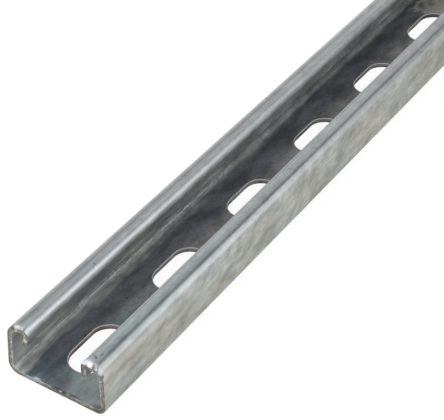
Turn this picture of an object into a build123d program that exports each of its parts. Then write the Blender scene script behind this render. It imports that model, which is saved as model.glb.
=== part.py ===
"""Slotted strut channel: a shallow C section with inturned lips, one bar of galvanised steel.

The bar starts as a flat strip. A press punches a row of slots down its middle, and rollers
then bend it six times: two bends make the back into walls, two make the walls into flanges,
and two turn the flange edges down into the lips that a channel nut hooks under.

Frame: X runs along the bar, Y across it and Z up. The bar lies on its back with its mouth up.
The origin is under the middle of the bar, on the surface that it lies on. The first slot is
at the -X end.
"""

import os

from build123d import *

# The bar, in millimetres
bar_length = 1000.0  # a stock length
channel_width = 41.0  # over the walls
channel_height = 21.0  # from the back to the top of the flanges
wall = 2.0  # thickness of the strip
mouth_width = 22.5  # clear gap between the lips
lip_depth = 6.5  # from the top of a flange down to the tip of its lip

# Bends and edges
back_bend_radius = 3.0  # inside of the two bends between back and wall
flange_bend_radius = 2.5  # inside of the two bends between wall and flange
lip_bend_radius = 0.3  # inside of the two bends between flange and lip
tip_radius = 0.4  # worn corners of the slit edges that end the lips
rim_chamfer = 0.4  # edge that the punch draws in round each slot, inside the channel

# The row of slots along the back
slot_length = 25.5  # end to end
slot_width = 14.0
slot_pitch = 50.0  # centre to centre
first_slot = 23.5  # from the -X end to the first centre

# Levels and places that follow
near_end = -bar_length / 2
tip_level = channel_height - lip_depth
slot_count = 1 + int((bar_length - first_slot - slot_length / 2) // slot_pitch)
slot_centres = [(near_end + first_slot + slot_pitch * i, 0) for i in range(slot_count)]

# Outside of each bend, in order round the section from lip to lip
half_bends = [lip_bend_radius + wall, flange_bend_radius + wall, back_bend_radius + wall]
bends = half_bends + half_bends[::-1]

with BuildPart() as strut_channel:
    # Section: the strip's outer face from lip to lip, then its thickness inwards
    with BuildSketch(Plane.YZ.offset(near_end)) as section:
        with BuildLine():
            FilletPolyline(
                (mouth_width / 2, tip_level),
                (mouth_width / 2, channel_height),
                (channel_width / 2, channel_height),
                (channel_width / 2, 0),
                (-channel_width / 2, 0),
                (-channel_width / 2, channel_height),
                (-mouth_width / 2, channel_height),
                (-mouth_width / 2, tip_level),
                radius=bends,
            )
            offset(amount=wall, side=Side.RIGHT)
        make_face()
        tips = section.vertices().filter_by_position(
            Axis.Y, tip_level - tip_radius / 2, tip_level + tip_radius / 2
        )
        fillet(tips, tip_radius)
    extrude(amount=bar_length)

    # Slots through the back
    with BuildSketch() as slots:
        with Locations(slot_centres):
            SlotOverall(slot_length, slot_width)
    extrude(amount=wall, mode=Mode.SUBTRACT)
    rims = strut_channel.edges(Select.LAST).group_by(Axis.Z)[-1]
    chamfer(rims, rim_chamfer)

strut_channel.part.label = "strut_channel"

os.makedirs("parts", exist_ok=True)
export_step(strut_channel.part, "parts/strut_channel.step")

print(f"{slot_count} slots, volume {strut_channel.part.volume / 1000:.1f} cm3")
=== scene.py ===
"""Slotted strut channel, dressed round its CAD solid.

A strip of galvanised steel is punched, rolled to a shallow C with inturned lips and cut to length. The bar
is built the same way here: the flat back with its slots, then each bend and run of one side, its mirror
image, the strip's thickness, and last the edges that punch, slitter, saw and file leave. Lengths are in
metres, +X runs along the bar, and +Z points out of the mouth.
"""

import math
from functools import reduce

import bmesh
import bpy
from bpy.props import FloatProperty, FloatVectorProperty, PointerProperty
from bpy.types import Operator, Panel, PropertyGroup
from mathutils import Matrix, Vector


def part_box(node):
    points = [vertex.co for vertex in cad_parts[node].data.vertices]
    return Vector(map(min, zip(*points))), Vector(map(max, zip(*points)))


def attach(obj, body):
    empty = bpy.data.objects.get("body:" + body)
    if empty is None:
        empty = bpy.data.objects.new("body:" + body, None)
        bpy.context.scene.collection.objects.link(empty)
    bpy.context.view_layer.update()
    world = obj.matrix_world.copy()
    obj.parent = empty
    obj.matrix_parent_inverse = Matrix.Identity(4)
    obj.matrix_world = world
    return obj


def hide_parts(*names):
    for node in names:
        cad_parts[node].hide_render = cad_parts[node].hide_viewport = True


bl_info = {
    "name": "Slotted strut channel",
    "version": (1, 0, 0),
    "blender": (4, 5, 0),
    "location": "View3D > Sidebar > Strut channel",
    "description": "A punched and roll-formed channel of galvanised steel, with its studio",
    "category": "Object",
}

NODE = "strut_channel"
PIECE = "rolled_channel"

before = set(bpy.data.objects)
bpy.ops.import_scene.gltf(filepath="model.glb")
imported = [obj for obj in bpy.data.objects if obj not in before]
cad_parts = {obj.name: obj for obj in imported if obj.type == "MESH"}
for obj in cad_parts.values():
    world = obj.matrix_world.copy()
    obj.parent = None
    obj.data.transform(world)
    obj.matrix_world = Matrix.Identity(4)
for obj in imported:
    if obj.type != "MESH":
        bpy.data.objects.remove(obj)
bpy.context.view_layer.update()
low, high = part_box(NODE)
bar_start = low.x

MM = 0.001
NEAR = 1e-6                # two points closer than this are one point
QUARTER = math.pi / 2
SQUARE = math.radians(50)  # faces that meet at more than this are shaded with an edge between them
CORNER = 0.9 * QUARTER     # faces that meet at more than this have a corner to round
FACING = 0.5               # share of a normal along an axis from which a face looks that way

# How finely the bar is divided
SLOT_ARC_STEPS = 24        # faces round each half circle of a slot
SLOT_SIDE_STEPS = 6        # faces along a slot's straight side
PITCH_STEPS = 20           # faces along one pitch of the bar
BACK_STEPS = 10            # faces across the back's flat
BEND_STEPS = 10            # faces round a bend
LIP_BEND_STEPS = 8         # faces round a lip's tight bend
RISE_STEPS = 4             # faces up a wall
REACH_STEPS = 3            # faces across a flange
DROP_STEPS = 2             # faces down a lip
EDGE_STEPS = 3             # faces round a rounded edge
CUT_STEPS = 2              # faces round a deburred one

# What rolling, handling, sawing and filing leave
CROWDING = 2.2             # how much a flange's rows of faces crowd to its lip, to keep it flat up to there
LESS_CROWN = 0.25          # the +Y flange's crown, as a share of the -Y one's
WORN = 1.35                # fullness of the +Y lip's bend, which has dragged over other bars
FULL = 2.5                 # fullness of the -Y lip's bend
LOW_RIM = 1 / 3            # radius of a slot's lower rim, as a share of its upper one's
# The rim mark also carries a painted highlight along the slots' rims.
SWEPT = 0.9                # share of that upper radius over which the rim is marked as worn
FILE_REACH = 6 * MM        # how far a stroke of the file is felt
TRIM_REACH = 14 * MM       # how far along the +Y flange the blade's pull is felt
SHORT = 1.4 * MM           # how much shorter the +Y flange is at the near end
TURNED_IN = 1.1 * MM       # how far the tip of the +Y lip is turned in there

# Flats filed on the flanges' near ends: side of the bar; place across, depth and length in millimetres; and
# whether the saw's roughness is left
FILED_FLATS = (
    (1, 16.1, 0.42, 1.5, True),
    (-1, 15.0, 0.8, 1.7, False),
)
FLAT_LEAN = 0.06           # how far such a flat leans to its wall
SHOULDER_TURN = math.radians(50)  # how far round the -Y shoulder its own flat lies
SHOULDER_DEPTH = 0.65 * MM  # how deep it goes at the cut
SHOULDER_SLOPE = 0.35      # how steeply it rises from there


# ---------------------------------------------------------------- sizes and colours a user may change

def length(name, description, default):
    """A size in metres, shown in the scene's own units."""
    return FloatProperty(
        name=name, description=description, default=default, min=0.0, unit="LENGTH", precision=4
    )


def colour(name, description, default):
    """A colour without alpha."""
    return FloatVectorProperty(
        name=name, description=description, default=default, subtype="COLOR", size=3, min=0.0, max=1.0
    )


class ChannelSizes(PropertyGroup):
    """Sizes of the strip, its bends and its slots."""

    bar_length: length("Length", "Length of the bar", high.x - low.x)
    width: length("Width", "Width over the walls", high.y - low.y)
    height: length("Height", "Height from the back to the flanges", high.z - low.z)
    wall: length("Wall", "Thickness of the strip", 2.0 * MM)
    mouth: length("Mouth", "Gap between the lips", 22.5 * MM)
    lip_depth: length("Lip depth", "Depth of the lips below the flanges", 6.5 * MM)
    back_bend: length("Back bend", "Outside radius between back and wall", 4.4 * MM)
    flange_bend: length("Flange bend", "Outside radius between wall and flange", 4.5 * MM)
    lip_bend: length("Lip bend", "Outside radius between flange and lip", 2.3 * MM)
    slot_length: length("Slot length", "Length of a slot over its round ends", 25.5 * MM)
    slot_width: length("Slot width", "Width of a slot", 14.0 * MM)
    slot_pitch: length("Slot pitch", "Distance from one slot to the next", 50.0 * MM)
    first_slot: length("First slot", "Distance from the bar's end to the first slot's middle", 23.5 * MM)
    crown: length("Flange crown", "How far the -Y flange falls away towards its wall", 0.3 * MM)
    rim: length("Slot rim", "Radius that the punch draws in round a slot", 0.4 * MM)
    tip: length("Lip tip", "Radius on the slit edges of the strip", 0.4 * MM)
    cut: length("Cut edge", "Radius that deburring leaves on a sawn end", 0.25 * MM)


class FinishColours(PropertyGroup):
    """Colours of the zinc and of the bare steel where the strip is cut."""

    cool_zinc: colour("Cool zinc", "Zinc with a blue cast", (0.368, 0.397, 0.399))
    warm_zinc: colour("Warm zinc", "Zinc with a straw cast", (0.391, 0.403, 0.379))
    # Teal, lilac and grey zinc paint the flanges' reflection into their colour.
    teal_reflection_zinc: colour("Teal zinc", "Zinc of the -Y flange", (0.365, 0.41, 0.425))
    lilac_reflection_zinc: colour("Lilac zinc", "Zinc of the +Y flange", (0.362, 0.372, 0.385))
    grey_reflection_zinc: colour("Grey zinc", "Zinc of both flanges away from the near end", (0.375, 0.392, 0.388))
    inner_zinc: colour("Inner zinc", "Zinc on the strip's inner side", (0.39, 0.41, 0.395))
    # Grime also paints the shade on the channel's floor, on the lips' faces and far along the bar.
    grime_and_shade: colour("Grime", "Rolling oil and dust on the floor of the channel", (0.143, 0.154, 0.172))
    stain: colour("Stain", "Brown stains in the grime", (0.17, 0.15, 0.15))
    dust: colour("Dust", "Pale dust on the floor's middle and its -Y side", (0.27, 0.265, 0.26))
    # The film also paints the light that reaches the floor from the open near end.
    film: colour("Film", "Thin film of oil on the floor's near end", (0.18, 0.235, 0.245))
    tarnish: colour("Tarnish", "Blue tarnish on the floor at the very end", (0.155, 0.195, 0.235))
    bloom: colour("Bloom", "Pale bloom where wet has stood", (0.40, 0.385, 0.345))
    # Bright zinc also paints the highlights: on the bends, creases, rims, cut edges and glints.
    bright_zinc_and_highlight: colour("Bright zinc", "Zinc and steel that a tool has just shaved", (0.68, 0.68, 0.70))
    punched_steel: colour("Punched steel", "Steel in a slot's wall and on a slit edge", (0.31, 0.285, 0.28))
    filed_steel: colour("Filed steel", "Steel on a filed corner", (0.47, 0.46, 0.50))
    cut_steel: colour("Cut steel", "Bare steel on a sawn end", (0.30, 0.30, 0.27))
    # Polished steel paints a bluish highlight on a stretch of the back's cut.
    polished_highlight_steel: colour("Highlight on the cut", "Sawn steel that a file has crossed", (0.42, 0.50, 0.55))
    burnt_steel: colour("Burnt steel", "Steel that the saw has browned", (0.045, 0.042, 0.04))
    rust: colour("Rust", "Rust on a cut edge", (0.16, 0.075, 0.035))


class StudioSettings(PropertyGroup):
    """Colours and levels of the studio."""

    floor: colour("Floor", "Colour of the floor", (0.82, 0.82, 0.82))
    fill: FloatProperty(name="Fill", description="Level of the even light all round", default=0.8, min=0.0)


# ---------------------------------------------------------------- the bar

def corners(parts):
    """The corners of edges or faces, in an order that is the same each time."""
    return list(dict.fromkeys(v for part in parts for v in part.verts))


def with_outline(faces):
    """Faces with their edges and corners, in an order that is the same each time."""
    return faces + list(dict.fromkeys(e for f in faces for e in f.edges)) + corners(faces)


def draw_on(bm, point, way, steps):
    """Draws a straight run on from a point and returns the run's last point."""
    for _ in range(steps):
        point = bmesh.ops.extrude_vert_indiv(bm, verts=[point])["verts"][0]
        bmesh.ops.translate(bm, verts=[point], vec=Vector(way) / steps)
    return point


def close_line(bm):
    """Joins the two ends of a line that has come back to its start."""
    bmesh.ops.remove_doubles(bm, verts=bm.verts[:], dist=NEAR)


def punch_cell(sizes, middle):
    """One pitch of the back: a flat panel round one slot, in the plane of the back's outer face."""
    bm = bmesh.new()
    radius = sizes.slot_width / 2
    reach = sizes.slot_length / 2 - radius
    corner = bm.verts.new((middle + reach, radius, 0.0))
    for side in (1, -1):
        turn = bmesh.ops.spin(
            bm, geom=[corner], cent=(middle + side * reach, 0.0, 0.0), axis=(0.0, 0.0, -1.0),
            angle=math.pi, steps=SLOT_ARC_STEPS,
        )
        corner = turn["geom_last"][0]
        corner = draw_on(bm, corner, (-side * 2 * reach, 0.0, 0.0), SLOT_SIDE_STEPS)
    flat = sizes.width - 2 * sizes.back_bend
    corner = bm.verts.new((middle - sizes.slot_pitch / 2, -flat / 2, 0.0))
    for way, steps in (
        ((sizes.slot_pitch, 0.0, 0.0), PITCH_STEPS),
        ((0.0, flat, 0.0), BACK_STEPS),
        ((-sizes.slot_pitch, 0.0, 0.0), PITCH_STEPS),
        ((0.0, -flat, 0.0), BACK_STEPS),
    ):
        corner = draw_on(bm, corner, way, steps)
    close_line(bm)
    bmesh.ops.bridge_loops(bm, edges=bm.edges[:])
    return bm


def punched_back(sizes):
    """The whole back, flat: one panel a pitch, the first and the last drawn out or in to the bar's ends."""
    first = bar_start + sizes.first_slot
    bm = punch_cell(sizes, first)
    count = 1 + int((sizes.bar_length - sizes.first_slot - sizes.slot_length / 2) // sizes.slot_pitch)
    cell = bm.verts[:] + bm.edges[:] + bm.faces[:]
    for i in range(1, count):
        copy = bmesh.ops.duplicate(bm, geom=cell)
        points = [v for v in copy["geom"] if isinstance(v, bmesh.types.BMVert)]
        bmesh.ops.translate(bm, verts=points, vec=(i * sizes.slot_pitch, 0.0, 0.0))
    bmesh.ops.remove_doubles(bm, verts=bm.verts[:], dist=NEAR)
    near_edge = first - sizes.slot_pitch / 2
    far_edge = near_edge + count * sizes.slot_pitch
    for place, end in ((near_edge, bar_start), (far_edge, bar_start + sizes.bar_length)):
        column = [v for v in bm.verts if abs(v.co.x - place) < NEAR]
        bmesh.ops.translate(bm, verts=column, vec=(end - place, 0.0, 0.0))
    return bm


def roll_side(bm, sizes):
    """Rolls the wall, flange and lip up from the back's +Y edge, bend by bend."""
    across = sizes.width / 2 - sizes.back_bend
    rise = sizes.height - sizes.back_bend - sizes.flange_bend
    reach = sizes.width / 2 - sizes.flange_bend - sizes.mouth / 2 - sizes.lip_bend
    drop = sizes.lip_depth - sizes.lip_bend
    edge = [e for e in bm.edges if all(abs(v.co.y - across) < NEAR for v in e.verts)]
    place = Vector((0.0, across, 0.0))
    rolled = []
    for turn, (radius, bend_steps, run, run_steps) in enumerate((
        (sizes.back_bend, BEND_STEPS, rise, RISE_STEPS),
        (sizes.flange_bend, BEND_STEPS, reach, REACH_STEPS),
        (sizes.lip_bend, LIP_BEND_STEPS, drop, DROP_STEPS),
    )):
        heading = Matrix.Rotation(turn * QUARTER, 3, "X")
        centre = place + heading @ Vector((0.0, 0.0, radius))
        before = set(bm.faces)
        bend = bmesh.ops.spin(
            bm, geom=edge + corners(edge), cent=centre, axis=(1.0, 0.0, 0.0), angle=QUARTER,
            steps=bend_steps,
        )
        edge = [e for e in bend["geom_last"] if isinstance(e, bmesh.types.BMEdge)]
        place = centre + heading @ Vector((0.0, radius, 0.0))
        way = Matrix.Rotation((turn + 1) * QUARTER, 3, "X") @ Vector((0.0, run, 0.0))
        for _ in range(run_steps):
            strip = bmesh.ops.extrude_edge_only(bm, edges=edge)["geom"]
            edge = [e for e in strip if isinstance(e, bmesh.types.BMEdge)]
            points = [v for v in strip if isinstance(v, bmesh.types.BMVert)]
            edge = [e for e in edge if all(v in points for v in e.verts)]
            bmesh.ops.translate(bm, verts=points, vec=way / run_steps)
        place = place + way
        rolled += [f for f in bm.faces if f not in before]
    return rolled


def mirror_side(bm, rolled):
    """Gives the bar its other wall, flange and lip."""
    bmesh.ops.mirror(bm, geom=with_outline(rolled), axis="Y", merge_dist=-1.0)
    bmesh.ops.remove_doubles(bm, verts=bm.verts[:], dist=NEAR)
    bmesh.ops.recalc_face_normals(bm, faces=bm.faces[:])
    back = min(bm.faces, key=lambda f: f.calc_center_median().z)
    if back.normal.z > 0:
        bmesh.ops.reverse_faces(bm, faces=bm.faces[:])


def crown_flanges(bm, sizes):
    """Lets each flange fall away from its lip to its wall, as rolls leave it: the -Y one most."""
    ridge = sizes.mouth / 2 + sizes.lip_bend
    flat = sizes.width / 2 - sizes.flange_bend - ridge
    foot = sizes.width / 2 - sizes.flange_bend / 2
    for v in bm.verts:
        if v.co.z > sizes.height / 2 and abs(v.co.y) > ridge + NEAR:
            out = (abs(v.co.y) - ridge) / flat
            if out < 1.0 - NEAR:
                v.co.y = math.copysign(ridge + flat * out ** CROWDING, v.co.y)
            way = min(1.0, (abs(v.co.y) - ridge) / (foot - ridge))
            drop = sizes.crown if v.co.y < 0.0 else sizes.crown * LESS_CROWN
            v.co.z -= drop * way * way * (3.0 - 2.0 * way)


def shape_lip(bm, sizes, side, fullness):
    """Reshapes the outer skin of a lip's bend: 2 leaves it round, less wears it flat, more squares it."""
    inside = bm.verts.layers.float["inside"]
    y_in = sizes.mouth / 2 + sizes.lip_bend
    z_in = sizes.height - sizes.lip_bend
    for v in bm.verts:
        across = (y_in - side * v.co.y) / sizes.lip_bend
        up = (v.co.z - z_in) / sizes.lip_bend
        if v[inside] < 0.5 and across > NEAR and up > NEAR and side * v.co.y > 0.0:
            reach = (across ** fullness + up ** fullness) ** (1.0 / fullness)
            v.co.y = side * (y_in - sizes.lip_bend * across / reach)
            v.co.z = z_in + sizes.lip_bend * up / reach


def give_thickness(bm, sizes):
    """Thickens the strip inwards, and marks its inner side for the finish to read."""
    inside = bm.verts.layers.float.new("inside")
    shell = bmesh.ops.solidify(bm, geom=bm.faces[:], thickness=sizes.wall)["geom"]
    for v in shell:
        if isinstance(v, bmesh.types.BMVert):
            v[inside] = 1.0


def corner_edges(bm, wanted):
    """Edges where two faces meet squarely, and for whose middle wanted(middle) holds."""
    found = []
    for e in bm.edges:
        if len(e.link_faces) == 2 and e.calc_face_angle() > CORNER:
            middle = (e.verts[0].co + e.verts[1].co) / 2
            if wanted(middle):
                found.append(e)
    return found


def round_off(bm, edges, radius, steps):
    """Rounds edges by a radius."""
    return bmesh.ops.bevel(
        bm, geom=edges, offset=radius, offset_type="OFFSET", segments=steps, profile=0.5,
        affect="EDGES", material=-1, clamp_overlap=True,
    )


def round_edges(bm, sizes):
    """Rounds the slots' rims, the slit edges of the lips and the sawn ends."""
    bm.normal_update()
    inside = sizes.slot_width / 2 + NEAR
    ends = (bar_start, bar_start + sizes.bar_length)

    def at_end(p):
        return any(abs(p.x - end) < NEAR for end in ends)

    for level, radius, steps in ((sizes.wall, sizes.rim, EDGE_STEPS), (0.0, sizes.rim * LOW_RIM, 1)):
        rims = corner_edges(bm, lambda p: abs(p.y) < inside and abs(p.z - level) < NEAR and not at_end(p))
        round_off(bm, rims, radius, steps)
    lip_level = sizes.height - sizes.lip_depth
    tips = corner_edges(bm, lambda p: abs(p.z - lip_level) < NEAR and not at_end(p))
    round_off(bm, tips, sizes.tip, EDGE_STEPS)
    cuts = corner_edges(bm, at_end)
    round_off(bm, cuts, sizes.cut, CUT_STEPS)


def file_corner(bm, corner, slope, left_rough):
    """Files a flat with that slope on a cut corner of the strip, and marks it for the finish to read. Its
    outline starts at its lowest corner, so that it is divided the same way each time."""
    filed = bm.faces.layers.float["filed"]
    sawn = bm.faces.layers.float["sawn"]
    near = [f for f in bm.faces if (f.calc_center_median() - corner).length < FILE_REACH]
    cut = bmesh.ops.bisect_plane(
        bm, geom=with_outline(near), dist=NEAR / 10, plane_co=corner, plane_no=Vector(slope).normalized(),
        clear_outer=True,
    )
    rim = [e for e in cut["geom_cut"] if isinstance(e, bmesh.types.BMEdge) and e.is_boundary]
    for face in bmesh.ops.contextual_create(bm, geom=rim)["faces"]:
        outline = face.verts[:]
        bm.faces.remove(face)
        first = outline.index(min(outline, key=lambda v: v.co.z))
        flat = bm.faces.new(outline[first:] + outline[:first])
        flat.normal_update()
        flat[filed] = 1.0
        flat[sawn] = float(left_rough)


def file_burrs(bm, sizes):
    """Files the sharpest corners of the near end: both flanges, and the shoulder of the -Y wall."""
    bm.faces.layers.float.new("filed")
    for side, across, depth, reach, left_rough in FILED_FLATS:
        corner = Vector((bar_start, side * across * MM, sizes.height - depth * MM))
        file_corner(bm, corner, (-depth, side * FLAT_LEAN, reach), left_rough)
    out = Vector((0.0, -math.sin(SHOULDER_TURN), math.cos(SHOULDER_TURN)))
    centre = Vector((bar_start, -(sizes.width / 2 - sizes.flange_bend), sizes.height - sizes.flange_bend))
    corner = centre + out * (sizes.flange_bend - SHOULDER_DEPTH)
    file_corner(bm, corner, out - Vector((SHOULDER_SLOPE, 0.0, 0.0)), left_rough=False)


def trim_end(bm, sizes):
    """Leaves the +Y flange a little short at the near end, and its lip's tip turned in, as a blade does."""
    foot = sizes.back_bend
    under_flange = sizes.height - sizes.wall
    for v in bm.verts:
        along = v.co.x - bar_start
        if along < TRIM_REACH and v.co.y > 0.0 and v.co.z > foot:
            share = (1.0 - along / TRIM_REACH) ** 2
            v.co.x += SHORT * share * (v.co.z - foot) / (sizes.height - foot)
            if v.co.y < sizes.mouth / 2 + sizes.wall + NEAR and v.co.z < under_flange:
                v.co.y += TURNED_IN * share * (under_flange - v.co.z) / (sizes.lip_depth - sizes.wall)


def mark_surface(bm, sizes):
    """Marks for the finish to read: sawn and punched steel, slots' rims, and the way round each bend."""
    sawn = bm.faces.layers.float.new("sawn")
    punched = bm.faces.layers.float.new("punched")
    rim = bm.verts.layers.float.new("rim")
    turn = bm.verts.layers.float.new("turn")
    ends = (bar_start, bar_start + sizes.bar_length)
    in_slot = sizes.slot_width / 2 + NEAR
    rim_level = sizes.wall - sizes.rim
    bm.normal_update()
    for f in bm.faces:
        middle = f.calc_center_median()
        in_wall = abs(middle.y) < in_slot and abs(f.normal.z) < FACING and middle.z < sizes.wall
        slit = abs(middle.z - sizes.height + sizes.lip_depth) < NEAR
        f[sawn] = float(any(abs(middle.x - end) < sizes.cut for end in ends) and abs(f.normal.x) > FACING)
        f[punched] = float((in_wall or slit) and not f[sawn])
    for v in bm.verts:
        by_slot = abs(v.co.y) < in_slot + sizes.rim * SWEPT
        v[rim] = float(by_slot and rim_level < v.co.z < sizes.wall - NEAR)
        v[turn] = way_round(sizes, abs(v.co.y), v.co.z)


def way_round(sizes, y, z):
    """How far round its bend a point is: 0 where the bend starts and on the flats, up to 1 at its end."""
    for radius, y_in, z_in, y_way, z_way in (
        (sizes.back_bend, sizes.width / 2 - sizes.back_bend, sizes.back_bend, 1, -1),
        (sizes.flange_bend, sizes.width / 2 - sizes.flange_bend, sizes.height - sizes.flange_bend, 1, 1),
        (sizes.lip_bend, sizes.mouth / 2 + sizes.lip_bend, sizes.height - sizes.lip_bend, -1, 1),
    ):
        across = (y - y_in) * y_way
        up = (z - z_in) * z_way
        if across > NEAR and up > NEAR and math.hypot(across, up) > radius - sizes.wall - sizes.crown:
            return math.atan2(across, up) / QUARTER
    return 0.0


def set_shading(bm, sizes):
    """Shades the bar smooth but for its square edges and the edge that wear has left along the +Y lip."""
    worn_edge = sizes.mouth / 2 + sizes.lip_bend
    for f in bm.faces:
        f.smooth = True
    for e in bm.edges:
        worn = all(abs(v.co.y - worn_edge) < NEAR and v.co.z > sizes.height - NEAR for v in e.verts)
        e.smooth = e.calc_face_angle(0.0) < SQUARE and not worn


class CHANNEL_OT_roll(Operator):
    """Make the bar from its strip: punch, roll, thicken, round the edges and galvanise"""

    bl_idname = "channel.roll"
    bl_label = "Roll channel"

    def execute(self, context):
        sizes = context.scene.channel_sizes
        bm = punched_back(sizes)
        rolled = roll_side(bm, sizes)
        mirror_side(bm, rolled)
        crown_flanges(bm, sizes)
        give_thickness(bm, sizes)
        shape_lip(bm, sizes, side=1, fullness=WORN)
        shape_lip(bm, sizes, side=-1, fullness=FULL)
        round_edges(bm, sizes)
        mark_surface(bm, sizes)
        file_burrs(bm, sizes)
        trim_end(bm, sizes)
        set_shading(bm, sizes)
        mesh = bpy.data.meshes.new(PIECE)
        bm.to_mesh(mesh)
        bm.free()
        mesh.materials.append(galvanised_steel(context.scene.channel_colours))
        bar = bpy.data.objects.new(PIECE, mesh)
        context.scene.collection.objects.link(bar)
        normals = bar.modifiers.new("Even shading", "WEIGHTED_NORMAL")
        normals.keep_sharp = True
        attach(bar, "root")
        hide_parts(NODE)
        return {"FINISHED"}


# ---------------------------------------------------------------- the finish

BLACK = (0.0, 0.0, 0.0)
USUAL = (0.3, 0.7)         # a noise seldom passes these
RELIEF = 0.03 * MM         # depth of the finest dents and hairlines

# Nicks and pits, in millimetres: along the bar from its near end, across, up, and radius. The bright spots
# at the near end and on the +Y lip are painted glints, those along the inner bend nicks; the dark spots at
# the near end's corners and low in the -Y bend there are painted shade, the rest pits.
NICKS_AND_GLINTS = (
    (1.7, 16.6, 20.7, 1.6),
    (1.0, 12.8, 16.8, 1.3),
    (0.9, -14.4, 20.9, 1.6),
    (0.7, -19.2, 19.6, 1.6),
    (40.3, 12.9, 20.1, 0.9),
    (52.2, 18.3, 3.8, 0.8),
    (56.9, 18.4, 4.4, 0.9),
    (161.1, 17.7, 3.0, 0.8),
    (162.9, 18.2, 3.5, 0.8),
    (260.1, 18.4, 3.4, 0.7),
    (284.6, 18.2, 3.3, 0.7),
)
PITS_AND_SHADE_SPOTS = (
    (0.0, -13.6, 19.2, 1.7),
    (0.0, -12.0, 18.0, 1.1),
    (0.3, -16.6, 20.4, 1.1),
    (1.2, 14.5, 19.3, 1.7),
    (1.5, 18.0, 20.1, 1.1),
    (0.3, -16.8, 2.6, 3.4),
    (4.3, -14.6, 21.0, 0.9),
    (4.6, -14.0, 21.0, 0.7),
    (6.0, -15.2, 21.0, 0.7),
    (6.7, -15.3, 21.0, 0.7),
    (41.3, 14.0, 20.8, 0.8),
    (49.7, 7.3, 2.0, 0.9),
)


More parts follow.
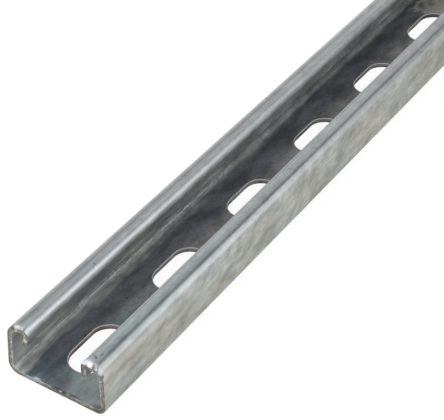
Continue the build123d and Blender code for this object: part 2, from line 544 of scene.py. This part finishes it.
class Finish:
    """The bar's material: one short call for each node, and the places and marks that the nodes read."""

    def __init__(self, name):
        self.material = bpy.data.materials.new(name)
        self.material.use_nodes = True
        self.tree = self.material.node_tree
        self.shader = self.tree.nodes["Principled BSDF"]
        self.count = 0
        self.place = self.node("ShaderNodeTexCoord", "On the bar", {}).outputs["Object"]
        axes = self.node("ShaderNodeSeparateXYZ", "Place on the bar", {0: self.place})
        self.along, self.across, self.height = axes.outputs
        self.off_centre = self.math("ABSOLUTE", self.across)
        self.inside, self.turn, self.rim = [self.mark(name) for name in ("inside", "turn", "rim")]
        self.sawn, self.punched, self.filed = [self.mark(name) for name in ("sawn", "punched", "filed")]
        self.outside = self.minus(1.0, self.inside)

    def node(self, kind, label, inputs, **settings):
        """A node with its settings, and with its inputs set or linked."""
        made = self.tree.nodes.new(kind)
        made.label = label
        made.location = (-1600 + 220 * (self.count % 6), 600 - 260 * (self.count // 6))
        self.count += 1
        for name, value in settings.items():
            setattr(made, name, value)
        fill_inputs(self.tree, made, inputs)
        return made

    def mark(self, name):
        """One of the marks that the mesh carries."""
        return self.node("ShaderNodeAttribute", name, {}, attribute_name=name).outputs["Fac"]

    def math(self, operation, *values):
        return self.node("ShaderNodeMath", "", dict(enumerate(values)), operation=operation).outputs[0]

    def plus(self, first, second):
        return self.math("ADD", first, second)

    def minus(self, first, second):
        return self.math("SUBTRACT", first, second)

    def times(self, *values):
        """The product of two or more values."""
        return reduce(lambda first, second: self.math("MULTIPLY", first, second), values)

    def most(self, *values):
        """The greatest of two or more values."""
        return reduce(lambda first, second: self.math("MAXIMUM", first, second), values)

    def mix(self, label, share, under, over, blend="MIX"):
        """One colour with a share of another over it."""
        inputs = {0: share, 6: under, 7: over}
        return self.node("ShaderNodeMix", label, inputs, data_type="RGBA", blend_type=blend).outputs[2]

    def range(self, label, value, low, high, to_low=0.0, to_high=1.0, kind="SMOOTHSTEP"):
        """to_low where value is under low, changing to to_high where it is over high."""
        inputs = {"Value": value, "From Min": low, "From Max": high, "To Min": to_low, "To Max": to_high}
        return self.node("ShaderNodeMapRange", label, inputs, interpolation_type=kind).outputs["Result"]

    def fade(self, label, value, low, high, start=1.0):
        """The start where value is under low, falling to 0 where it is over high."""
        return self.range(label, value, low, high, start, 0.0)

    def from_end(self, label, low, high, to_low, to_high):
        """to_low up to the distance low from the near end, changing to to_high at the distance high."""
        return self.range(label, self.along, bar_start + low, bar_start + high, to_low, to_high)

    def band(self, label, value, middle, half_width):
        """1 where value is at the middle, falling to 0 half a width away."""
        off = self.math("ABSOLUTE", self.minus(value, middle))
        return self.fade(label, off, 0.0, half_width)

    def noise(self, label, scale, detail=3.0, roughness=0.5, distortion=0.0, slant=0.0):
        """A noise with scale repeats a metre, or so many along each axis, its length slanted upwards."""
        repeats = scale if isinstance(scale, tuple) else (scale, scale, scale)
        mapping = self.node("ShaderNodeMapping", label, {
            "Vector": self.place,
            "Scale": [1.0 / number for number in repeats],
            "Rotation": (0.0, -slant, 0.0),
        }, vector_type="TEXTURE")
        return self.node("ShaderNodeTexNoise", label, {
            "Vector": mapping.outputs["Vector"], "Scale": 1.0,
            "Detail": detail, "Roughness": roughness, "Distortion": distortion,
        }).outputs["Fac"]

    def patches(self, label, scale, low, high, to_low=0.0, to_high=1.0, detail=3.0, roughness=0.5):
        """Patches of a noise: to_low where it is under low, changing to to_high where it is over high."""
        return self.range(label, self.noise(label, scale, detail, roughness), low, high, to_low, to_high)

    def ragged(self, label, scale, amount, detail=3.0, roughness=0.5, kind="SMOOTHSTEP"):
        """A noise from -amount to amount, which makes an edge ragged."""
        noise = self.noise(label, scale, detail, roughness)
        return self.range(label, noise, *USUAL, -amount, amount, kind)

    def toned(self, label, shade, value, low, high, amount=1.0):
        """A colour made darker and lighter by a noise's value."""
        return self.mix(label, amount, shade, self.range(label, value, *USUAL, low, high), blend="MULTIPLY")

    def crystals(self, label, scale):
        """A value from 0 to 1 for each of the zinc's crystals, scale of them a metre."""
        cells = self.node("ShaderNodeTexVoronoi", label, {"Vector": self.place, "Scale": scale})
        return self.node("ShaderNodeSeparateColor", label, {0: cells.outputs["Color"]}).outputs[0]

    def away(self, label, centre, stretch=(1.0, 1.0, 1.0)):
        """How far a point is from a centre, with each axis stretched."""
        away = self.place
        for operation, other in (("SUBTRACT", centre), ("MULTIPLY", stretch)):
            step = self.node("ShaderNodeVectorMath", label, {0: away, 1: other}, operation=operation)
            away = step.outputs[0]
        return self.node("ShaderNodeVectorMath", label, {0: away}, operation="LENGTH").outputs["Value"]

    def spots(self, label, places):
        """1 in the middle of each round spot: its place along the bar, across and up, and its radius."""
        found = 0.0
        for along, across, up, radius in places:
            away = self.away(label, (bar_start + along * MM, across * MM, up * MM))
            spot = self.fade(label, away, radius * MM * 0.2, radius * MM)
            found = self.most(spot, found)
        return found


def fill_inputs(tree, made, inputs):
    """Gives each named or numbered input of a node its value, or links it to another node's output."""
    for name, value in inputs.items():
        socket = made.inputs[name]
        if isinstance(value, bpy.types.NodeSocket):
            tree.links.new(value, socket)
        else:
            socket.default_value = (*value, 1.0) if socket.type == "RGBA" else value


def zinc_colour(f, colours, clouds):
    """Zinc in its clouds, crystals and mill streaks, with a cast on each side. The flanges' tops carry a
    painted reflection, teal on the -Y one and lilac on the +Y one, greyer further along.
    """
    cast = f.patches("Cast", (42.0, 100.0, 100.0), 0.36, 0.64, detail=4.0)
    zinc = f.mix("Cast of the zinc", cast, colours.cool_zinc, colours.warm_zinc)
    # Painted reflection: the flanges' tops are tinted teal and lilac, greying further along, for what they
    # face.
    greyed = f.from_end("Greyer stretch", 0.03, 0.10, 0.0, 0.8)
    teal_reflection = f.mix("Teal to grey", greyed, colours.teal_reflection_zinc, colours.grey_reflection_zinc)
    greyed = f.from_end("Greyer far stretch", 0.08, 0.30, 0.0, 1.0)
    lilac_reflection = f.mix("Lilac to grey", greyed, colours.lilac_reflection_zinc, colours.grey_reflection_zinc)
    further = f.from_end("Along the flange", 0.02, 0.12, 0.5, 1.0)
    side = f.times(f.range("+Y side", f.across, -5.0 * MM, 5.0 * MM), further)
    flange = f.mix("Zinc of the flanges", side, teal_reflection, lilac_reflection)
    on_top = f.range("Flanges", f.height, 19.4 * MM, 20.4 * MM, 0.0, 0.85)
    zinc = f.mix("Flange zinc", on_top, zinc, flange)
    zinc = f.mix("Inner zinc", f.inside, zinc, colours.inner_zinc)

    on_walls = f.range("On the walls", f.height, 19.0 * MM, 20.4 * MM, 1.0, 0.4)
    mottle = f.noise("Mottle", (190.0, 380.0, 380.0), distortion=0.3, slant=math.radians(8))
    streaks = f.noise("Mill streaks", (9.0, 430.0, 430.0))
    grain = f.noise("Grain", (420.0, 950.0, 950.0), detail=2.0)
    for label, value, low, high, amount in (
        ("Cloud tone", clouds, 0.82, 1.18, on_walls),
        ("Mottle tone", mottle, 0.87, 1.13, on_walls),
        ("Streak tone", streaks, 0.94, 1.06, 1.0),
        ("Grain tone", grain, 0.95, 1.05, 1.0),
    ):
        zinc = f.toned(label, zinc, value, low, high, amount)
    # Painted shade: the -Y side far along and the +Y flange's near end are darkened.
    zinc = f.mix("Painted shade on zinc", painted_zinc_shade(f), zinc, BLACK)
    crystal = f.range("Crystal tone", f.crystals("Spangle", 260.0), 0.0, 1.0, 0.95, 1.05, "LINEAR")
    return f.mix("Crystal tone", 1.0, zinc, crystal, blend="MULTIPLY")


def painted_zinc_shade(f):
    """Painted shade on the zinc: darker on the -Y side far along, and on the +Y flange, most at its near
    end.
    """
    dull = f.times(
        f.from_end("Shaded far stretch", 0.14, 0.26, 0.0, 0.12),
        f.fade("-Y side", f.across, -5.0 * MM, 5.0 * MM),
    )
    darker_flange_end = f.times(
        f.from_end("Darker flange end", 0.03, 0.07, 0.13, 0.07),
        f.range("+Y flange", f.across, 12.9 * MM, 13.6 * MM),
        f.range("Top", f.height, 19.2 * MM, 20.0 * MM),
    )
    return f.most(dull, darker_flange_end)


def painted_highlights(f):
    """Painted highlights on the outer skin: a line on each lip's bend, one on the -Y wall's shoulder, and
    that wall's top at the near end."""
    line = f.times(
        f.from_end("Highlight at the near end", 0.0, 0.27, 0.48, 0.0),
        f.band("+Y bend", f.across, 12.4 * MM, 0.65 * MM),
    )
    other = f.times(
        f.band("-Y bend", f.across, -12.2 * MM, 0.9 * MM),
        f.from_end("Fainter far along", 0.14, 0.26, 0.55, 0.3),
    )
    shoulder = f.times(
        f.band("-Y shoulder", f.across, -18.85 * MM, 0.75 * MM),
        f.from_end("Highlight far along", 0.0, 0.10, 0.15, 0.36),
    )
    lines = f.most(line, other, shoulder)
    lines = f.times(lines, f.range("On top", f.height, 18.5 * MM, 19.5 * MM))
    pale = f.times(
        f.from_end("Pale end", 0.02, 0.07, 0.34, 0.0),
        f.fade("-Y wall", f.across, -19.5 * MM, -18.5 * MM),
        f.band("Wall's top", f.height, 18.0 * MM, 2.0 * MM),
    )
    return f.times(f.most(lines, pale), f.outside)


def grime_and_shade_mask(f):
    """Where grime and painted shade lie: on the floor, on the lips, and further up the walls away from the
    near end.
    """
    # Painted shade: the spread grows away from the open near end, where less light reaches in.
    spread = f.from_end("Spread", 0.0, 0.30, 0.0, 2.6 * MM)
    spread = f.plus(spread, f.ragged("Edge", (70.0, 200.0, 200.0), 1.1 * MM, detail=4.0))
    return f.most(floor_grime_and_shade(f, spread), lip_painted_shade(f, spread))


def floor_grime_and_shade(f, spread):
    """Grime and painted shade on the channel's inner side, which reach further by their spread."""
    width = f.from_end("Width of the edge", 0.05, 0.20, 2.6 * MM, 5.0 * MM)
    foot = f.minus(f.minus(f.off_centre, 13.0 * MM), spread)
    low = f.times(
        f.fade("Between the walls", f.math("DIVIDE", foot, width), 0.0, 1.0),
        f.range("Thin side", f.across, -9.0 * MM, 3.0 * MM, 0.6, 1.0),
        f.fade("Low down", f.minus(f.height, spread), 5.0 * MM, 9.5 * MM),
    )
    climbing = f.times(
        f.range("Climbing the walls", spread, 0.5 * MM, 3.0 * MM, 0.0, 0.32),
        f.fade("Below the lips", f.height, 14.0 * MM, 17.0 * MM),
    )
    in_bend = f.times(
        f.from_end("Held by the bends", 0.03, 0.16, 0.0, 0.45),
        f.band("Bend", f.turn, 0.5, 0.45),
    )
    higher = f.most(climbing, in_bend)
    return f.times(f.most(low, higher), f.inside)


def lip_painted_shade(f, spread):
    """Painted shade on the lips' faces, lighter on their tips at the near end."""
    over = f.minus(f.off_centre, f.times(spread, 0.15))
    lighter_tip = f.range("Lighter tip", f.height, 15.0 * MM, 17.2 * MM, 0.2, 1.0)
    # Painted shade: the lips' faces towards the mouth are darkened, less on the -Y lip.
    return f.times(
        f.fade("Facing the mouth", over, 11.2 * MM, 12.3 * MM, 0.5),
        f.range("-Y lip", f.across, -5.0 * MM, 5.0 * MM, 0.3, 1.0),
        f.most(lighter_tip, f.range("Away", spread, 1.5 * MM, 2.6 * MM)),
        f.range("High up", f.height, 13.0 * MM, 14.0 * MM),
    )


def film_and_light_mask(f):
    """Where the floor's grime thins to a lighter film, which is partly painted light from the open end: on
    the -Y half next to the near end, and past the middle at the cut.
    """
    ragged = f.ragged("Film edge", (60.0, 120.0, 120.0), 9.0 * MM, detail=4.0)
    along = f.plus(f.along, ragged)
    along = f.fade("Film's end", along, bar_start + 0.04, bar_start + 0.07, 0.85)
    across = f.plus(f.across, f.times(ragged, 0.25))
    across = f.minus(across, f.from_end("Spread at the end", 0.0, 5.0 * MM, 14.0 * MM, 0.0))
    return f.times(along, f.fade("Film's side", across, 1.0 * MM, 8.0 * MM))


def grime_and_shade_colour(f, colours):
    """Blue-grey grime, which also paints the floor's shade: stained, dusty on the -Y side, darker far along
    as painted shade, thin with a lighter film and tarnished near by.
    """
    stains = f.patches("Stains", (60.0, 110.0, 110.0), 0.44, 0.60, detail=4.0)
    away = f.from_end("Away from the near end", 0.03, 0.09, 0.2, 1.0)
    past = f.range("Past the middle", f.across, -4.0 * MM, 8.0 * MM, 1.0, 0.2)
    stains = f.times(stains, f.times(away, past))
    dirt = f.mix("Stained grime", stains, colours.grime_and_shade, colours.stain)
    # Painted shade: darker far along by the +Y wall.
    thick = f.from_end("Thicker grime", 0.17, 0.25, 0.0, 0.2)
    thick = f.times(thick, f.range("By the +Y wall", f.across, 6.0 * MM, 11.0 * MM))
    dirt = f.mix("Thick grime", thick, dirt, BLACK)
    dusty = f.fade("Dusty side", f.across, 0.0, 9.5 * MM, 0.85)
    dusty = f.times(dusty, f.from_end("Past the end", 0.02, 0.06, 0.5, 1.0))
    dirt = f.mix("Dusty grime", dusty, dirt, colours.dust)
    # A thin oil film with painted light from the open near end.
    dirt = f.mix("Oil film", film_and_light_mask(f), dirt, colours.film)
    blue = f.from_end("Tarnished end", 0.006, 0.018, 0.75, 0.0)
    blue = f.times(blue, f.range("Past the film", f.across, 1.0 * MM, 7.0 * MM))
    dirt = f.mix("Tarnished grime", blue, dirt, colours.tarnish)
    smudge = f.away("Smudge", (bar_start + 2.0 * MM, -4.0 * MM, 2.0 * MM))
    dirt = f.mix("Smudged film", f.fade("Smudge range", smudge, 2.0 * MM, 8.0 * MM, 0.22), dirt, BLACK)
    dirt = f.toned("Smear tone", dirt, f.noise("Smears", (80.0, 190.0, 190.0), detail=4.0), 0.66, 1.34)
    dirt = f.toned("Dust tone", dirt, f.noise("Dust", (600.0, 900.0, 900.0), detail=2.0), 0.88, 1.12)
    return with_bloom(f, colours, dirt)


def with_bloom(f, colours, dirt):
    """Adds the pale bloom where wet has stood on the floor, with a tide mark and a fainter one in it."""
    reach = f.away("Bloom", (bar_start + 0.318, -3.0 * MM, 2.0 * MM), (1.0, 2.0, 1.0))
    reach = f.plus(reach, f.ragged("Bloom edge", (90.0, 160.0, 160.0), 9.0 * MM, detail=5.0))
    dirt = f.mix("Bloom", f.fade("Bloom range", reach, 38.0 * MM, 46.0 * MM, 0.9), dirt, colours.bloom)
    tide = f.band("Tide mark", reach, 33.0 * MM, 2.0 * MM)
    inner_tide = f.times(f.band("Inner tide mark", reach, 25.0 * MM, 1.5 * MM), 0.6)
    tides = f.times(f.most(tide, inner_tide), 0.45)
    return f.mix("Tide marks", tides, dirt, colours.grime_and_shade)


def crease_highlights_and_specks(f):
    """Thin broken lines of painted highlight, with clusters of specks of crazed zinc, where the inner side
    of the back's bends is creased.
    """
    turn = f.plus(f.turn, f.ragged("Waver", 50.0, 0.05, kind="LINEAR"))
    second = f.times(f.band("Second crease", turn, 0.86, 0.08), 0.6)
    lines = f.most(f.band("First crease", turn, 0.60, 0.10), second)
    breaks = f.patches("Breaks", (300.0, 700.0, 700.0), 0.42, 0.54, 0.1, 1.0)
    fading = f.patches("Fading", 16.0, 0.35, 0.5, 0.45, 1.0)
    lines = f.times(lines, f.times(breaks, fading))
    specks = f.times(
        f.patches("Specks", (650.0, 900.0, 900.0), 0.50, 0.55, detail=2.0),
        f.patches("Clusters", 55.0, 0.44, 0.52, detail=1.0),
        f.band("Speckled turn", turn, 0.62, 0.38),
    )
    return f.times(
        f.most(lines, specks),
        f.from_end("Creased length", 0.08, 0.20, 1.0, 0.0),
        f.from_end("Crease's start", 0.01, 0.035, 0.45, 1.0),
        f.fade("Back's bends", f.height, 5.0 * MM, 6.0 * MM),
        f.inside,
    )


def scuffs(f):
    """Dark scuffs drawn lengthwise along the foot of each wall, most over the near end's first stretch."""
    foot = f.range("Foot", f.off_centre, 14.5 * MM, 16.5 * MM)
    foot = f.times(foot, f.fade("Below the wall", f.height, 4.5 * MM, 7.0 * MM))
    drawn = f.patches("Scuffs", (110.0, 650.0, 650.0), 0.45, 0.58, 0.0, 0.45, detail=4.0, roughness=0.6)
    drawn = f.times(drawn, f.from_end("Scuffed length", 0.10, 0.18, 1.0, 0.25))
    return f.times(f.times(foot, drawn), f.inside)


def brink(f, middle, half_width):
    """The floor's last millimetre before the near cut, over a stretch across the bar."""
    low_down = f.times(f.fade("On the floor", f.height, 2.4 * MM, 4.0 * MM), f.inside)
    last = f.times(f.from_end("Last of the floor", 0.5 * MM, 1.3 * MM, 1.0, 0.0), low_down)
    return f.times(last, f.band("Stretch of the brink", f.across, middle, half_width))


def with_brink(f, colours, metal):
    """Adds dirt along the floor's brink, and a painted highlight on a stretch of it."""
    patches = f.patches("Brink's dirt", 380.0, 0.40, 0.52, 0.15, 0.95)
    dirty = f.times(brink(f, -3.0 * MM, 11.0 * MM), patches)
    metal = f.mix("Dirty brink", dirty, metal, colours.burnt_steel)
    # Painted highlight on a stretch of the floor's brink.
    brink_highlight = f.times(brink(f, 8.6 * MM, 2.4 * MM), 0.9)
    return f.mix("Brink highlight", brink_highlight, metal, colours.bright_zinc_and_highlight)


def punched_colour(f, colours):
    """Steel in a punched wall: torn dark low down, sheared paler above, and drawn bright at the top."""
    level = f.plus(f.inside, f.ragged("Tear", 300.0, 0.15))
    patches = f.patches("Patchy shear", 90.0, 0.38, 0.58, 0.4, 1.0)
    sheared = f.times(f.range("Shear", level, 0.10, 0.40), patches)
    steel = f.mix("Punched steel", sheared, colours.burnt_steel, colours.punched_steel)
    drawn = f.range("Drawn edge", level, 0.72, 0.95, 0.0, 0.5)
    return f.mix("Drawn steel", drawn, steel, colours.bright_zinc_and_highlight)


def sawn_colour(f, colours):
    """Steel through its thickness: browned under the outer skin and paler inwards, with a painted highlight
    on its inner edge, dirt along the back's upper border, a stretch of painted highlight on the back's cut,
    and specks of rust."""
    wander = f.ragged("Wander", 330.0, 0.45, detail=4.0, roughness=0.65, kind="LINEAR")
    level = f.plus(f.inside, wander)
    browned = f.times(f.band("Browned", level, 0.32, 0.32), 0.6)
    steel = f.mix("Browned", browned, colours.cut_steel, colours.burnt_steel)
    # Painted highlight along the cut's inner edge.
    steel = f.mix("Inner edge highlight", f.range("Shaved", level, 0.8, 1.05), steel, colours.bright_zinc_and_highlight)
    border = f.times(
        f.fade("On the back", f.height, 2.2 * MM, 4.0 * MM),
        f.band("Middle", f.across, -1.0 * MM, 11.0 * MM),
        f.range("Upper part", level, 0.55, 0.85),
    )
    dirt = f.times(f.patches("Dirty stretches", 380.0, 0.38, 0.50), border)
    steel = f.mix("Dirty edge", dirt, steel, colours.burnt_steel)
    # Painted highlight: a bluish stretch on the back's cut.
    stretch = f.band("Polished", f.across, 10.5 * MM, 6.5 * MM)
    polished_highlight = f.times(stretch, 0.75, f.fade("Low", f.height, 3.0 * MM, 4.5 * MM))
    steel = f.mix("Highlight on the cut", polished_highlight, steel, colours.polished_highlight_steel)
    specks = f.times(f.patches("Rust specks", 700.0, 0.56, 0.66, detail=2.0), 0.6)
    return f.mix("Rusted steel", specks, steel, colours.rust)


def filed_colour(f, colours):
    """Steel that a file has shaved, with dark specks left where it skipped."""
    skipped = f.patches("Skips", (500.0, 700.0, 700.0), 0.42, 0.55, 0.7, 0.0)
    return f.mix("Filed steel", skipped, colours.filed_steel, colours.burnt_steel)


def bar_colour(f, colours, clouds, grime_and_shade):
    """Zinc, then what lies on it and the painted shade, the painted highlights and what has rubbed it,
    steel where it is cut, and painted glints and shade, in that order.
    """
    # Grime and painted shade on the floor, painted shade on the lips' faces.
    metal = f.mix("Grimy floor", grime_and_shade, zinc_colour(f, colours, clouds), grime_and_shade_colour(f, colours))
    # Painted highlights along the lips' bends, the -Y wall's shoulder and its top at the near end.
    metal = f.mix("Painted highlight lines", painted_highlights(f), metal, colours.bright_zinc_and_highlight)
    metal = f.mix("Scuffed feet", scuffs(f), metal, colours.grime_and_shade)
    # Painted highlight: bright lines along the inner bends, with specks of crazed zinc.
    metal = f.mix("Bright creases", crease_highlights_and_specks(f), metal, colours.bright_zinc_and_highlight)
    # Worn zinc and a painted highlight round each slot's upper rim.
    metal = f.mix("Bright rims", f.times(f.rim, 0.85), metal, colours.bright_zinc_and_highlight)
    metal = with_brink(f, colours, metal)
    metal = f.mix("Punched walls", f.punched, metal, punched_colour(f, colours))
    metal = f.mix("Sawn ends", f.sawn, metal, sawn_colour(f, colours))
    metal = f.mix("Filed flats", f.filed, metal, filed_colour(f, colours))
    # Painted glints at the near end's corners and on the +Y lip, with real nicks along the inner bend.
    nicks_and_glints = f.times(f.spots("Bright nick", NICKS_AND_GLINTS), 0.8)
    metal = f.mix("Bright nicks", nicks_and_glints, metal, colours.bright_zinc_and_highlight)
    # Painted shade in the near end's corners and low in the -Y bend there, with real pits elsewhere.
    pits_and_shade = f.times(f.spots("Dark pit", PITS_AND_SHADE_SPOTS), 0.65)
    return f.mix("Dark pits", pits_and_shade, metal, colours.burnt_steel)


def bar_roughness(f, clouds, grime_and_shade):
    """Glossy zinc in its clouds, rougher inside, where the painted shade lies on the lips, and at the sawn
    ends.
    """
    rough = f.range("Roughness", clouds, *USUAL, 0.27, 0.31)
    rough = f.plus(rough, f.times(f.inside, 0.30))
    dull = f.times(f.times(grime_and_shade, f.outside), 0.6)
    rough = f.plus(rough, dull)
    return f.plus(rough, f.times(f.sawn, 0.2))


def bar_relief(f):
    """Shallow dents, deeper on the bends, and hairlines drawn along the bar."""
    on_bend = f.times(f.turn, f.minus(1.0, f.turn))
    depth = f.math("MULTIPLY_ADD", on_bend, 0.6, 0.35)
    dents = f.times(f.noise("Dents", (150.0, 260.0, 260.0), detail=1.0), depth)
    hairlines = f.times(f.noise("Hairlines", (30.0, 1200.0, 1200.0)), 0.05)
    relief = {"Strength": 1.0, "Distance": RELIEF, "Height": f.plus(dents, hairlines)}
    return f.node("ShaderNodeBump", "Surface", relief).outputs["Normal"]


def galvanised_steel(colours):
    """Galvanised strip: clouded zinc, grime and painted shade on the floor, creases with a painted
    highlight, and steel where it is cut.
    """
    f = Finish("galvanised_steel")
    clouds = f.noise("Clouds", (65.0, 170.0, 170.0), detail=4.0, distortion=0.6, slant=math.radians(13))
    grime_and_shade = grime_and_shade_mask(f)
    fill_inputs(f.tree, f.shader, {
        "Base Color": bar_colour(f, colours, clouds, grime_and_shade),
        "Metallic": f.range("Metal", f.inside, 0.0, 1.0, 0.82, 0.5, "LINEAR"),
        "Roughness": bar_roughness(f, clouds, grime_and_shade),
        "Normal": bar_relief(f),
    })
    return f.material


# ---------------------------------------------------------------- the studio

EYE = Vector((-0.761944, -0.237877, 0.357180))
GAZE = Vector((0.653902, 0.428528, -0.623536))
ROLL = math.radians(0.141)
LENS = 120.14              # millimetres
SENSOR = 36.0              # millimetres
WHITE = (1.0, 1.0, 1.0)
FLOOR_REACH = 6.0          # metres from the floor's middle to its edges

# How the floor looks in the bar's reflections, and then to the camera: its glow, and its colour where lit
FLOOR_LOOKS = (
    (0.10, (0.805, 0.775, 0.71)),
    (0.88, (0.15, 0.15, 0.15)),
)
# The lamps, in metres: name, place, the point that it faces, its size, how bright it looks, and its colour
LAMPS = (
    ("right_softbox", (-0.02, -0.54, 0.60), (-0.02, -0.54, 0.0), (0.75, 0.84), 0.6, WHITE),
    ("front_softbox", (-0.85, -0.35, 0.30), (-0.45, 0.0, 0.0), (0.3, 0.3), 3.0, WHITE),
    ("left_softbox", (-0.68, 0.45, 0.75), (-0.45, 0.0, 0.0), (0.7, 0.5), 1.3, WHITE),
    ("strip_softbox", (0.45, 0.41, 0.60), (0.45, 0.41, 0.0), (1.6, 0.15), 0.4, (0.95, 1.0, 1.04)),
)
# The level flags that the bar reflects, in metres: name, place, size, and how pale it is
FLAGS = (
    ("near_flag", (-0.10, 0.05, 0.61), (0.50, 0.30), 0.03),
    ("overhead_flag", (0.475, 0.01, 0.61), (0.65, 0.22), 0.03),
    ("far_flag", (0.85, -0.40, 0.61), (0.70, 0.66), 0.42),
    ("left_near_flag", (-0.10, 0.90, 0.60), (0.40, 0.80), 0.50),
    ("left_flag", (0.70, 0.90, 0.60), (1.20, 0.80), 0.72),
)


def set_camera(scene):
    """The camera looks down along the bar from beyond its near end."""
    data = bpy.data.cameras.new("camera")
    data.lens = LENS
    data.sensor_width = SENSOR
    data.clip_start = 0.01
    data.clip_end = 50.0
    camera = bpy.data.objects.new("camera", data)
    turn = GAZE.to_track_quat("-Z", "Y").to_matrix().to_4x4() @ Matrix.Rotation(-ROLL, 4, "Z")
    camera.matrix_world = Matrix.Translation(EYE) @ turn
    scene.collection.objects.link(camera)
    scene.camera = camera


def softbox(scene, name, spot, aim, size, radiance, shade):
    """A rectangular lamp at spot, facing aim. Its power follows from its area and how bright it looks."""
    data = bpy.data.lights.new(name, "AREA")
    data.shape = "RECTANGLE"
    data.size, data.size_y = size
    data.energy = radiance * math.pi * size[0] * size[1]
    data.color = shade
    lamp = bpy.data.objects.new(name, data)
    spot = Vector(spot)
    lamp.location = spot
    lamp.rotation_euler = (Vector(aim) - spot).to_track_quat("-Z", "Y").to_euler()
    lamp.visible_camera = False
    scene.collection.objects.link(lamp)


def wired(tree, kind, inputs):
    """The first output of a new node with those inputs."""
    made = tree.nodes.new(kind)
    fill_inputs(tree, made, inputs)
    return made.outputs[0]


def seen_directly(tree, path):
    """1 for a ray from the camera, also by way of metal or glass, and 0 for light that falls on things."""
    total = path.outputs["Is Camera Ray"]
    for name in ("Is Glossy Ray", "Is Transmission Ray"):
        add = tree.nodes.new("ShaderNodeMath")
        add.operation = "MAXIMUM"
        fill_inputs(tree, add, {0: total, 1: path.outputs[name]})
        total = add.outputs[0]
    return total


def floor_material(settings):
    """A pale floor. What looks at it directly or in a reflection sees it white, with the bar's shadow."""
    material = bpy.data.materials.new("studio_floor")
    material.use_nodes = True
    tree = material.node_tree
    tree.nodes.clear()
    path = tree.nodes.new("ShaderNodeLightPath")
    looks = []
    for glow, shade in FLOOR_LOOKS:
        lit = wired(tree, "ShaderNodeBsdfDiffuse", {"Color": shade})
        glowing = wired(tree, "ShaderNodeEmission", {"Strength": glow})
        looks.append(wired(tree, "ShaderNodeAddShader", {0: lit, 1: glowing}))
    shares = {0: path.outputs["Is Camera Ray"], 1: looks[0], 2: looks[1]}
    seen = wired(tree, "ShaderNodeMixShader", shares)
    pale = wired(tree, "ShaderNodeBsdfDiffuse", {"Color": settings.floor})
    both = wired(tree, "ShaderNodeMixShader", {0: seen_directly(tree, path), 1: pale, 2: seen})
    fill_inputs(tree, tree.nodes.new("ShaderNodeOutputMaterial"), {"Surface": both})
    return material


def level_sheet(name, spot, size):
    """A level rectangle of that size, with its middle at spot."""
    bm = bmesh.new()
    bmesh.ops.create_grid(bm, x_segments=1, y_segments=1, size=0.5)
    bmesh.ops.scale(bm, verts=bm.verts[:], vec=(*size, 1.0))
    bmesh.ops.translate(bm, verts=bm.verts[:], vec=spot)
    mesh = bpy.data.meshes.new(name)
    bm.to_mesh(mesh)
    bm.free()
    return mesh


def flag(scene, name, spot, size, shade):
    """A card at spot that only the bar's reflections see."""
    mesh = level_sheet(name, spot, size)
    material = bpy.data.materials.new(name)
    material.use_nodes = True
    tree = material.node_tree
    matt = {"Base Color": (shade, shade, shade), "Roughness": 1.0, "Specular IOR Level": 0.0}
    fill_inputs(tree, tree.nodes["Principled BSDF"], matt)
    mesh.materials.append(material)
    card = bpy.data.objects.new(name, mesh)
    card.visible_camera = False
    card.visible_diffuse = False
    card.visible_shadow = False
    scene.collection.objects.link(card)


def set_world(scene, settings):
    """White all round where it is seen, and an even fill light where it isn't."""
    world = bpy.data.worlds.new("studio")
    world.use_nodes = True
    tree = world.node_tree
    tree.nodes.clear()
    path = tree.nodes.new("ShaderNodeLightPath")
    fill = wired(tree, "ShaderNodeBackground", {"Color": WHITE, "Strength": settings.fill})
    white = wired(tree, "ShaderNodeBackground", {"Color": WHITE})
    both = wired(tree, "ShaderNodeMixShader", {0: seen_directly(tree, path), 1: fill, 2: white})
    fill_inputs(tree, tree.nodes.new("ShaderNodeOutputWorld"), {"Surface": both})
    scene.world = world


class CHANNEL_OT_studio(Operator):
    """Set up the floor, the lamps, the surroundings and the camera"""

    bl_idname = "channel.studio"
    bl_label = "Set up studio"

    def execute(self, context):
        scene = context.scene
        settings = scene.channel_studio
        mesh = level_sheet("studio_floor", (0.0, 0.0, 0.0), (2 * FLOOR_REACH, 2 * FLOOR_REACH))
        mesh.materials.append(floor_material(settings))
        floor = bpy.data.objects.new("studio_floor", mesh)
        scene.collection.objects.link(floor)
        set_world(scene, settings)
        set_camera(scene)
        for lamp in LAMPS:
            softbox(scene, *lamp)
        for card in FLAGS:
            flag(scene, *card)
        scene.view_settings.view_transform = "Standard"
        return {"FINISHED"}


class CHANNEL_PT_panel(Panel):
    """Lists the steps, with the sizes and colours that they read"""

    bl_idname = "CHANNEL_PT_panel"
    bl_label = "Strut channel"
    bl_space_type = "VIEW_3D"
    bl_region_type = "UI"
    bl_category = "Strut channel"

    def draw(self, context):
        for group, step in (
            ("channel_sizes", CHANNEL_OT_roll),
            ("channel_colours", None),
            ("channel_studio", CHANNEL_OT_studio),
        ):
            box = self.layout.box()
            settings = getattr(context.scene, group)
            for name in settings.bl_rna.properties.keys():
                if name not in ("rna_type", "name"):
                    box.prop(settings, name)
            if step:
                box.operator(step.bl_idname)


CLASSES = (
    ChannelSizes, FinishColours, StudioSettings, CHANNEL_OT_roll, CHANNEL_OT_studio, CHANNEL_PT_panel,
)


def register():
    for cls in CLASSES:
        bpy.utils.register_class(cls)
    bpy.types.Scene.channel_sizes = PointerProperty(type=ChannelSizes)
    bpy.types.Scene.channel_colours = PointerProperty(type=FinishColours)
    bpy.types.Scene.channel_studio = PointerProperty(type=StudioSettings)


def unregister():
    del bpy.types.Scene.channel_studio
    del bpy.types.Scene.channel_colours
    del bpy.types.Scene.channel_sizes
    for cls in reversed(CLASSES):
        bpy.utils.unregister_class(cls)


def main():
    register()
    bpy.ops.channel.roll()
    bpy.ops.channel.studio()


if __name__ == "__main__":
    main()
